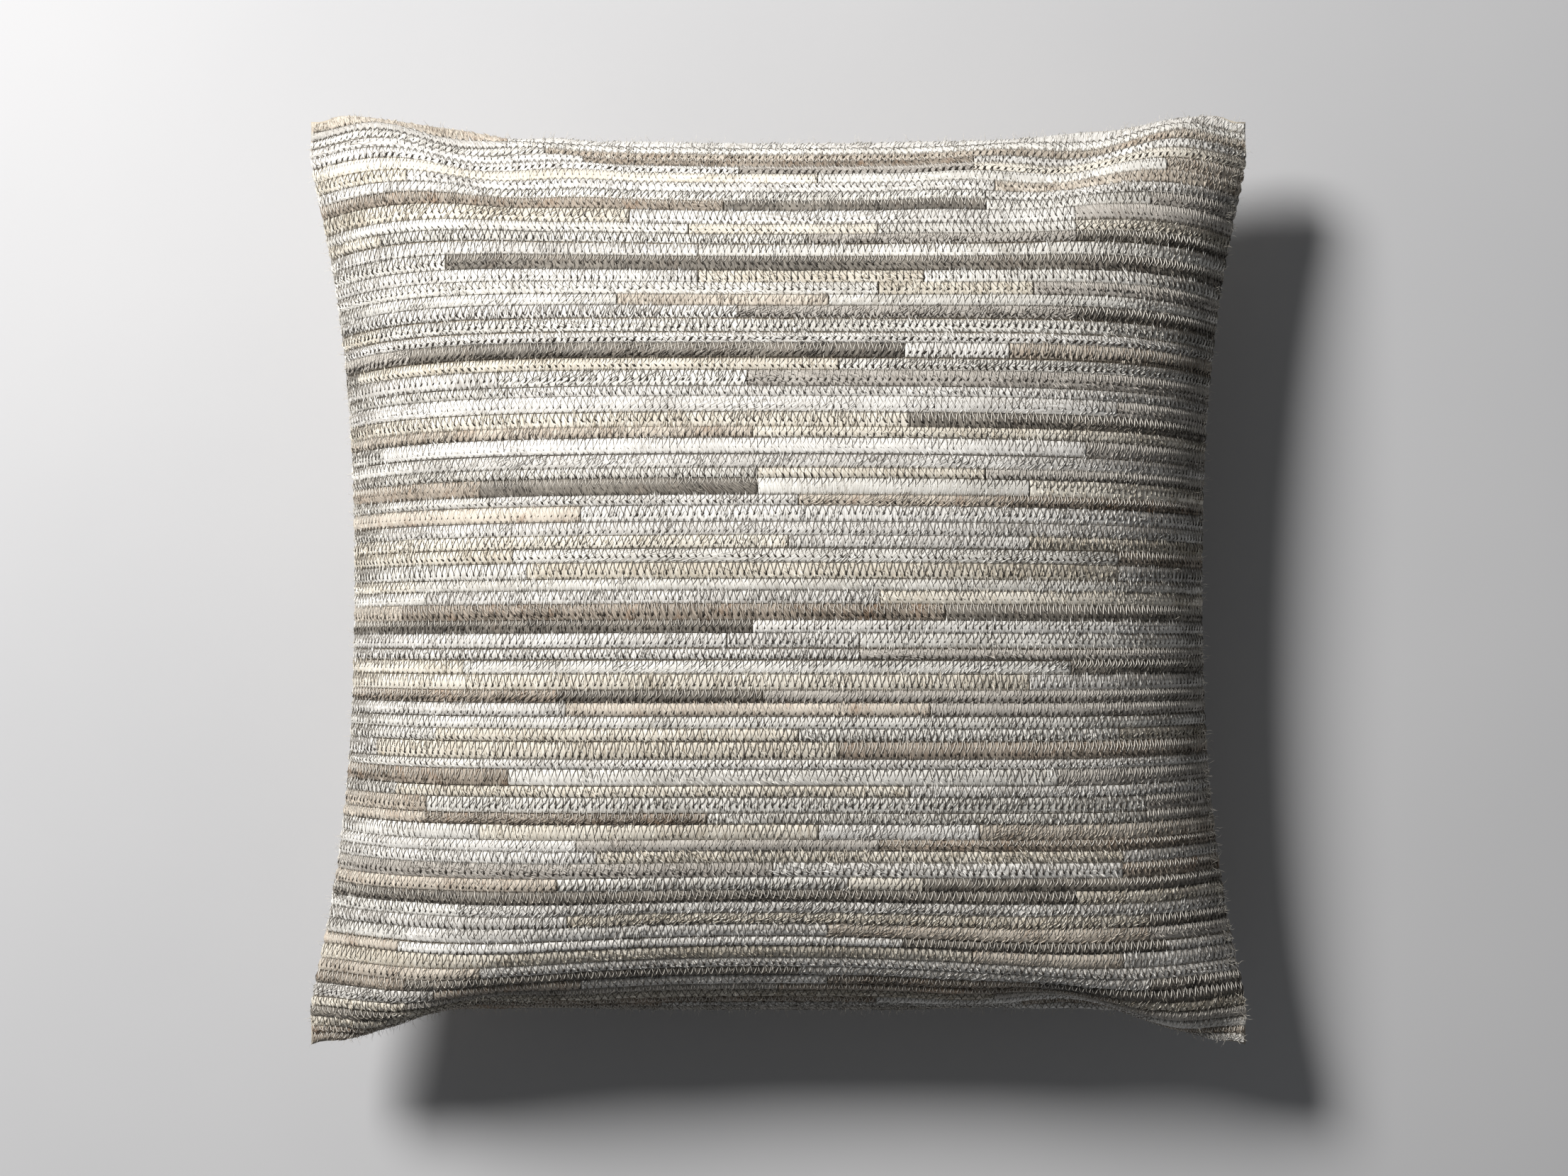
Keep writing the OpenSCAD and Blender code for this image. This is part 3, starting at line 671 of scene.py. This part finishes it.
# ---- The stray hairs -------------------------------------------------------------------
# Single hairs that have worked loose stand off the hide, most of them along the edges where
# the strips fold over the seam. Each is a thin bent spike, rooted in the hide.
EDGE_HAIRS, FACE_HAIRS = 2200, 900
STRAY = 0.085  # half a hair's thickness, coarser than real hair so that it shows
NEAR_EDGE = 0.95  # share of the way to the seam past which hairs lean outwards
draw = np.random.default_rng(41)
side_place = draw.uniform(-1, 1, EDGE_HAIRS)
close_in = draw.uniform(0.955, 0.996, EDGE_HAIRS)
which = draw.integers(0, 4, EDGE_HAIRS)
s = np.select([which == 0, which == 1], [close_in, -close_in], side_place * 0.99)
t = np.select([which == 2, which == 3], [close_in, -close_in], side_place * 0.99)
s = np.concatenate([s, draw.uniform(-0.94, 0.94, FACE_HAIRS)])
t = np.concatenate([t, draw.uniform(-0.94, 0.94, FACE_HAIRS)])
root = on_front(s, t, 1.2)
up = on_front(s, t, 2.2) - root
away = np.stack([np.where(np.abs(s) > NEAR_EDGE, np.sign(s), 0), np.where(
    np.abs(t) > NEAR_EDGE, np.sign(t), 0), 0 * s], -1)
heading = 0.75 * away + draw.normal(0, 0.55, root.shape) * [1, 1, 0.2] + up * draw.uniform(
    0.25, 0.6, len(s))[:, None]
heading /= np.linalg.norm(heading, axis=-1, keepdims=True)
# The small offset keeps this from vanishing for a hair that stands upright
aside = np.cross(heading, up + [0.01, 0.02, 0])
aside /= np.linalg.norm(aside, axis=-1, keepdims=True)
third = np.cross(heading, aside)
long = draw.uniform(2.5, 7.0, len(s))[:, None]
bend = aside * draw.normal(0, 0.14, len(s))[:, None] * long
turn = np.radians([90, 210, 330])
spike = [root + STRAY * (aside * np.cos(a) + third * np.sin(a)) for a in turn]
spike += [root + heading * 0.55 * long + bend + 0.8 * STRAY * (
    aside * np.cos(a) + third * np.sin(a)) for a in turn]
spike = np.stack([*spike, root + heading * long + 0.4 * bend - 0.12 * up * long], 1)
firsts = np.arange(len(spike))[:, None, None] * 7
# A hair's seven points: three at its root, three at its bend, and its tip
sleeves = np.array([[0, 1, 4, 3], [1, 2, 5, 4], [2, 0, 3, 5]])
tips = np.array([[0, 2, 1], [3, 4, 6], [4, 5, 6], [5, 3, 6]])
stray_hairs = mesh_piece(
    "stray_hairs", spike.reshape(-1, 3), (firsts + sleeves).reshape(-1, 4),
    (firsts + tips).reshape(-1, 3), uv=spike[..., :2].reshape(-1, 2) * MM, uv_name="hair",
    shade=np.repeat(draw.normal(0.1, 0.2, len(spike)), 7))
stray_hairs.data.materials.append(hide_materials["V"])
fit(stray_hairs, "hide_ivory")

# ---- The woven cloths ------------------------------------------------------------------
# The backing under the strips is cotton duck and the back of the cover is cotton and linen,
# both plain-woven and cut as squares. Each is a closed sheet of its real thickness, on the
# shape that the fill gives it.
BACKING = 0.8
BACK = 1.0
CELLS = 88  # mesh cells along a side of a cloth


def sheet_piece(name, upper, lower, places):
    """A closed sheet: two grids of points, the upper one outside, joined round their edges."""
    rows, columns = upper.shape[:2]
    index = np.arange(rows * columns).reshape(rows, columns)
    under = index + rows * columns
    cell = [index[:-1, :-1], index[:-1, 1:], index[1:, 1:], index[1:, :-1]]
    top = np.stack(cell, -1).reshape(-1, 4)
    rim = np.concatenate([index[0, :-1], index[:-1, -1], index[-1, :0:-1], index[:0:-1, 0]])
    ahead = np.roll(rim, -1)
    offset = rows * columns
    wall = np.stack([rim, rim + offset, ahead + offset, ahead], -1)
    faces = np.concatenate([top, top[:, ::-1] + offset, wall])
    points = np.concatenate([upper.reshape(-1, 3), lower.reshape(-1, 3)])
    return mesh_piece(name, points, faces, uv=np.concatenate([places, places]),
                      uv_name="threads")


def square_places(cells, s_reach=1.0, t_reach=1.0):
    """Grids of s and t over a square of cloth, and its thread places in metres."""
    s, t = np.meshgrid(np.linspace(-s_reach, s_reach, cells + 1),
                       np.linspace(-t_reach, t_reach, cells + 1))
    return s, t, np.stack([s, t], -1).reshape(-1, 2) * HALF_CUT * MM


def plain_weave(name, warp, weft, pitch, slub, rough=0.85):
    """Plain-woven cloth: threads pass over and under each other, each a little uneven.

    pitch is the thread spacing in millimetres, drawn coarse enough to show.
    """
    material = bpy.data.materials.new(name)
    material.use_nodes = True
    tree = material.node_tree
    shader = tree.nodes["Principled BSDF"]
    places = node(tree, "UVMap", uv_map="threads").outputs[0]
    ply = 1 / (pitch * MM)
    counted = node(tree, "Mapping", {"Vector": places, "Scale": (ply, ply, 1)}).outputs[0]
    wave = {"Vector": counted, "Scale": math.pi / 10}
    across = node(tree, "TexWave", wave, bands_direction="X").outputs["Fac"]
    down = node(tree, "TexWave", wave, bands_direction="Y").outputs["Fac"]
    which = node(tree, "TexChecker", {"Vector": counted, "Scale": 2.0}).outputs["Fac"]
    height = node(tree, "Mix", {0: which, 2: across, 3: down}).outputs[0]
    long_slubs = node(tree, "Mapping", {"Vector": places, "Scale": (40, ply, 1)}).outputs[0]
    uneven = node(tree, "TexNoise", {"Vector": long_slubs, "Scale": 1.0, "Detail": 2.0},
                  noise_dimensions="2D").outputs[0]
    soft = node(tree, "TexNoise", {"Vector": places, "Scale": 14.0, "Detail": 3.0},
                noise_dimensions="2D").outputs[0]
    spread = node(tree, "Math", {0: uneven, 1: soft}, operation="ADD")
    amount = node(tree, "MapRange", {0: spread.outputs[0], 1: 1 - slub, 2: 1 + slub})
    threads = node(tree, "Mix", {0: amount.outputs[0], 6: linear(weft), 7: linear(warp)},
                   data_type="RGBA").outputs[2]
    # The hollows between the threads are darkened in the colour: painted shade
    painted_hollow_shade = node(tree, "MapRange", {0: height, 1: 0.0, 2: 0.6, 3: 0.72, 4: 1.0}).outputs[0]
    colour = node(tree, "Mix", {0: 1.0, 6: threads, 7: painted_hollow_shade}, data_type="RGBA",
                  blend_type="MULTIPLY")
    bump = node(tree, "Bump", {"Height": height, "Distance": pitch * MM * 0.25, "Strength": 0.7})
    tree.links.new(colour.outputs[2], shader.inputs["Base Color"])
    tree.links.new(bump.outputs[0], shader.inputs["Normal"])
    shader.inputs["Roughness"].default_value = rough
    shader.inputs["Sheen Weight"].default_value = 0.15
    return material


cotton_duck = plain_weave("woven_cotton_duck", "#cdc3b3", "#b8ad9b", 1.3, 0.18)
s, t, places = square_places(CELLS)
backing = sheet_piece("front_backing", on_front(s, t, -0.1), on_front(s, t, -BACKING), places)
backing.data.materials.append(cotton_duck)
fit(backing, "backing_cloth", "front_backing_cloth")

back_cloth = plain_weave("woven_cotton_linen_back", "#d3c9b9", "#bcb1a0", 1.1, 0.22)
mirrored = np.s_[:, ::-1]
cover_back = sheet_piece("cover_back", on_back(s, t, 0.0)[mirrored],
                         on_back(s, t, BACK)[mirrored], places)
cover_back.data.materials.append(back_cloth)
fit(cover_back, "back_cloth", "back_panel")

# ---- The turned-in edges ---------------------------------------------------------------
# The panels' cut edges, sewn together and turned inside: one narrow band of doubled twill
# that follows the seam all round, and stops short of the zip and of its open pull tab.
TURNED = 8.0  # width of the band
TURNED_IN = 0.6  # from the back panel's edge to the band


def seam_path(first, last):
    """Places round the seam, the long way from first to last on the zip's side."""
    turns = [[first, -1], [1, -1], [1, 1], [-1, 1], [-1, -1], [last, -1]]
    legs = [np.linspace(a, b, 64, endpoint=False) for a, b in zip(turns[:-1], turns[1:])]
    return np.concatenate([*legs, [turns[-1]]])


path = seam_path((zip_half + 1) / half_width, -(zip_half + TAB_ROOM) / half_width)
allowance_low, allowance_high = (corner[2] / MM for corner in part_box("edge_seam_allowance"))
band = []
for inset, z in ((0.0, allowance_high), (0.0, allowance_low), (TURNED, allowance_low),
                 (TURNED, allowance_high)):
    x, y = seam_outline(path[:, 0], path[:, 1], BACK_INSET + TURNED_IN + inset)
    band.append(np.stack([x, y, z + 0 * x], -1))
ring = np.arange(len(path) - 1)[:, None] * 4 + np.arange(4)
turn = np.arange(len(path) - 1)[:, None] * 4 + np.array([1, 2, 3, 0])
ends = np.array([[3, 2, 1, 0], np.arange(4) + 4 * (len(path) - 1)])
turned_edges = mesh_piece("turned_in_edges", np.stack(band, 1).reshape(-1, 3), np.concatenate(
    [np.stack([ring, turn, turn + 4, ring + 4], -1).reshape(-1, 4), ends]))


def cloth_finish(name, light, dark, pitch):
    """Ribbed twill or tape: diagonal ribs a pitch apart in millimetres, on object places."""
    material = bpy.data.materials.new(name)
    material.use_nodes = True
    tree = material.node_tree
    shader = tree.nodes["Principled BSDF"]
    spot = node(tree, "TexCoord").outputs["Object"]
    ribs = node(tree, "TexWave", {"Vector": spot, "Scale": math.pi / 10 / (pitch * MM),
                                  "Distortion": 0.4, "Detail Scale": 3.0},
                bands_direction="DIAGONAL").outputs["Fac"]
    wear = node(tree, "TexNoise", {"Vector": spot, "Scale": 60.0, "Detail": 3.0}).outputs[0]
    # The colour darkens in the ribs' grooves, painted shade, and in worn patches
    rib_shade_and_wear = node(tree, "Math", {0: ribs, 1: wear}, operation="MULTIPLY").outputs[0]
    colour = node(tree, "Mix", {0: rib_shade_and_wear, 6: linear(dark), 7: linear(light)},
                  data_type="RGBA").outputs[2]
    bump = node(tree, "Bump", {"Height": ribs, "Distance": 0.0002, "Strength": 0.6}).outputs[0]
    tree.links.new(colour, shader.inputs["Base Color"])
    tree.links.new(bump, shader.inputs["Normal"])
    shader.inputs["Roughness"].default_value = 0.85
    shader.inputs["Sheen Weight"].default_value = 0.1
    return material


twill_edges = cloth_finish("cotton_twill_seam_edges", "#cfc5b5", "#ab9f8d", 0.9)
turned_edges.data.materials.append(twill_edges)
fit(turned_edges, "back_cloth", "edge_seam_allowance")

# ---- The insert ------------------------------------------------------------------------
# A ticking bag of downproof cotton, a little smaller than the cover, filled with feather and
# down. It takes the cover's shape, flattened with it, and comes to its own seam inside it.
INSERT_IN = 15.0
TICKING = 0.8
INSERT_CELLS = 56


def insert_layer(s, t, inset, clear, side):
    """A layer of the insert: the cover's shape drawn in by inset and thinner by clear."""
    shape = on_front(s, t, 0.0) if side > 0 else on_back(s, t, 0.0)
    shape = shape * [1 - inset / half_width, 1 - inset / half_height, 1]
    edge = np.maximum(np.abs(s), np.abs(t))
    rise = side * (shape[..., 2] - seam_z)
    parted = ZIP_LIFT * np.clip((-0.5 - t) * 2, 0, 1)
    rise = rise - clear - parted
    shape[..., 2] = seam_z + side * np.maximum(rise, 0.25 * (1.05 - edge))
    return shape


s, t, places = square_places(INSERT_CELLS)
ticking = plain_weave("downproof_cotton_ticking", "#efebe2", "#dfd9cc", 0.8, 0.1)
for side, word in ((1, "front"), (-1, "back")):
    turned = np.s_[:, :] if side > 0 else mirrored
    outer = insert_layer(s, t, INSERT_IN, 2.6, side)
    inner = insert_layer(s, t, INSERT_IN + TICKING, 2.6 + TICKING, side)
    outer[..., 2] += side * TICKING
    inner[..., 2] += 0.05 * side
    piece = sheet_piece("insert_" + word, outer[turned], inner[turned], places)
    piece.data.materials.append(ticking)
    fit(piece, "ticking", "insert_ticking_" + word)
    size = 2 * (HALF_CUT - INSERT_IN) * MM

upper = insert_layer(s, t, INSERT_IN + 3, 4.6, 1)
lower = insert_layer(s, t, INSERT_IN + 3, 4.6, -1)
inside = 1 - np.maximum(np.abs(s), np.abs(t)) ** 8
lumps = np.sin(s * 19 + 2 * np.sin(t * 7)) * np.sin(t * 17 + 2 * np.sin(s * 9)) * inside
upper[..., 2] += -0.8 + 0.6 * lumps
lower[..., 2] -= -0.8 + 0.6 * lumps
filling = sheet_piece("down_filling", upper, lower, places)
down = bpy.data.materials.new("feather_and_down")
down.use_nodes = True
tree = down.node_tree
shader = tree.nodes["Principled BSDF"]
spot = node(tree, "TexCoord").outputs["Object"]
tufts = node(tree, "TexNoise", {"Vector": spot, "Scale": 120.0, "Detail": 6.0,
                                "Roughness": 0.7}).outputs[0]
fluff = node(tree, "Mix", {0: tufts, 6: linear("#e9e5dc"), 7: linear("#fbfaf6")},
             data_type="RGBA").outputs[2]
relief = node(tree, "Bump", {"Height": tufts, "Distance": 0.002, "Strength": 0.8}).outputs[0]
tree.links.new(fluff, shader.inputs["Base Color"])
tree.links.new(relief, shader.inputs["Normal"])
shader.inputs["Roughness"].default_value = 1.0
shader.inputs["Sheen Weight"].default_value = 0.3
filling.data.materials.append(down)
fit(filling, "filling", "insert_filling")

# ---- The labels ------------------------------------------------------------------------
# Two blank woven satin labels: one inside the back panel near its lower seam, for the cover's
# care, and one on the insert's front. Each is a thin flap that follows the cloth beside it.
LABEL = 0.4


def label_patch(node_name, surface):
    """A label where its place is kept: its two faces on the cloth's shape, and its threads."""
    lowest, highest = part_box(node_name)
    s = np.linspace(lowest[0], highest[0], 13) / (half_width * MM)
    t = np.linspace(lowest[1], highest[1], 17) / (half_height * MM)
    s, t = np.meshgrid(s, t)
    threads = np.stack([s, t], -1).reshape(-1, 2) * HALF_CUT * MM
    return surface(s, t, 0.0), surface(s, t, LABEL), threads, (highest - lowest)


satin = plain_weave("woven_satin_label", "#f3f1ec", "#e6e2da", 0.5, 0.06, rough=0.45)
outer, inner, threads, extent = label_patch(
    "care_label", lambda s, t, into: on_back(s, t, BACK + 0.25 + into))
care = sheet_piece("cover_care_label", outer[mirrored], inner[mirrored], threads)
care.data.materials.append(satin)
fit(care, "label", "care_label")
outer, inner, threads, extent = label_patch(
    "insert_label", lambda s, t, into: insert_layer(s, t, INSERT_IN, 1.45 + into, 1))
insert_label = sheet_piece("insert_size_label", outer, inner, threads)
insert_label.data.materials.append(satin)
fit(insert_label, "label", "insert_label")

# ---- The insert's seam, the lips and the zip -------------------------------------------
# These keep their engineered shapes. They get twill, woven polyester tape, moulded
# polyacetal teeth, and antique-nickel-plated zinc.


def hard_finish(name, light, dark, metallic, smooth, worn):
    """Plated metal or moulded plastic: faint cloudy tone, and roughness from wear."""
    material = bpy.data.materials.new(name)
    material.use_nodes = True
    tree = material.node_tree
    shader = tree.nodes["Principled BSDF"]
    spot = node(tree, "TexCoord").outputs["Object"]
    clouds = node(tree, "TexNoise", {"Vector": spot, "Scale": 400.0, "Detail": 4.0}).outputs[0]
    scratches = node(tree, "Mapping", {"Vector": spot, "Scale": (300, 3000, 3000)}).outputs[0]
    fine = node(tree, "TexNoise", {"Vector": scratches, "Scale": 1.0, "Detail": 2.0}).outputs[0]
    colour = node(tree, "Mix", {0: clouds, 6: linear(dark), 7: linear(light)},
                  data_type="RGBA").outputs[2]
    rough = node(tree, "MapRange", {0: fine, 1: 0.3, 2: 0.7, 3: smooth, 4: worn}).outputs[0]
    bump = node(tree, "Bump", {"Height": fine, "Distance": 0.00002, "Strength": 0.4}).outputs[0]
    tree.links.new(colour, shader.inputs["Base Color"])
    tree.links.new(rough, shader.inputs["Roughness"])
    tree.links.new(bump, shader.inputs["Normal"])
    shader.inputs["Metallic"].default_value = metallic
    return material


finishes = {
    twill_edges: ["insert_seam"],
    cloth_finish("cotton_twill_zip_lips", "#c8bdac", "#a2968a", 0.9):
        ["zip_lip_front", "zip_lip_back"],
    cloth_finish("woven_polyester_zip_tape", "#978d80", "#70675c", 0.6):
        ["zip_tape_front", "zip_tape_back"],
    hard_finish("moulded_polyacetal_teeth", "#aa9f8e", "#857a6b", 0.0, 0.3, 0.5):
        ["zip_teeth_front", "zip_teeth_back"],
    hard_finish("antique_nickel_plated_zinc", "#b9b3a9", "#8b857b", 1.0, 0.22, 0.42):
        ["zip_top_stops", "zip_bottom_stop", "zip_slider_outer_plate",
         "zip_slider_inner_plate", "zip_pull_tab"]}
for finish, kept_nodes in finishes.items():
    for kept in kept_nodes:
        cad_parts[kept].data.materials.clear()
        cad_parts[kept].data.materials.append(finish)

# ---- The studio ------------------------------------------------------------------------
# The pillow lies on its back on a pale plaster floor, under a large soft lamp at its upper
# left and an even pale sky, and the camera looks straight down at it from 1.9 m.
FLOOR_SIZE = 12.0  # metres, as are all of the studio's sizes
floor = mesh_piece("floor", np.array([[-1, -1, 0], [1, -1, 0], [1, 1, 0], [-1, 1, 0]])
                   * FLOOR_SIZE / 2 / MM + [0, 0, -0.02], np.array([[0, 1, 2, 3]]))
plaster = bpy.data.materials.new("pale_plaster")
plaster.use_nodes = True
tree = plaster.node_tree
shader = tree.nodes["Principled BSDF"]
spot = node(tree, "TexCoord").outputs["Object"]
clouds = node(tree, "TexNoise", {"Vector": spot, "Scale": 2.2, "Detail": 5.0}).outputs[0]
wash = node(tree, "Mix", {0: clouds, 6: linear("#acadb0"), 7: linear("#bcbcbe")},
            data_type="RGBA").outputs[2]
tree.links.new(wash, shader.inputs["Base Color"])
shader.inputs["Roughness"].default_value = 0.8
floor.data.materials.append(plaster)

scene = bpy.context.scene
lamp = bpy.data.lights.new("soft_lamp", "AREA")
lamp.shape, lamp.size, lamp.energy = "DISK", 0.7, 68.0
lamp.color = (1.0, 0.985, 0.96)
lamp_holder = bpy.data.objects.new("soft_lamp", lamp)
lamp_holder.location = (-1.0, 0.99, 1.5)
lamp_holder.rotation_euler = (-Vector(lamp_holder.location)).to_track_quat("-Z", "Y").to_euler()
scene.collection.objects.link(lamp_holder)
sky = bpy.data.worlds.new("even_sky")
sky.use_nodes = True
sky.node_tree.nodes["Background"].inputs["Color"].default_value = (0.96, 0.98, 1.0, 1.0)
sky.node_tree.nodes["Background"].inputs["Strength"].default_value = 0.13
scene.world = sky
scene.view_settings.view_transform = "Standard"

EYE_HEIGHT = 1.9
VIEW_WIDTH = 0.824  # of the floor's view at the height of the seam
camera = bpy.data.cameras.new("overhead_camera")
camera.sensor_width = 36.0
camera.lens = 36.0 * (EYE_HEIGHT - seam_z * MM) / VIEW_WIDTH
camera_holder = bpy.data.objects.new("overhead_camera", camera)
camera_holder.location = (0.003, -0.0025, EYE_HEIGHT)
scene.collection.objects.link(camera_holder)
scene.camera = camera_holder
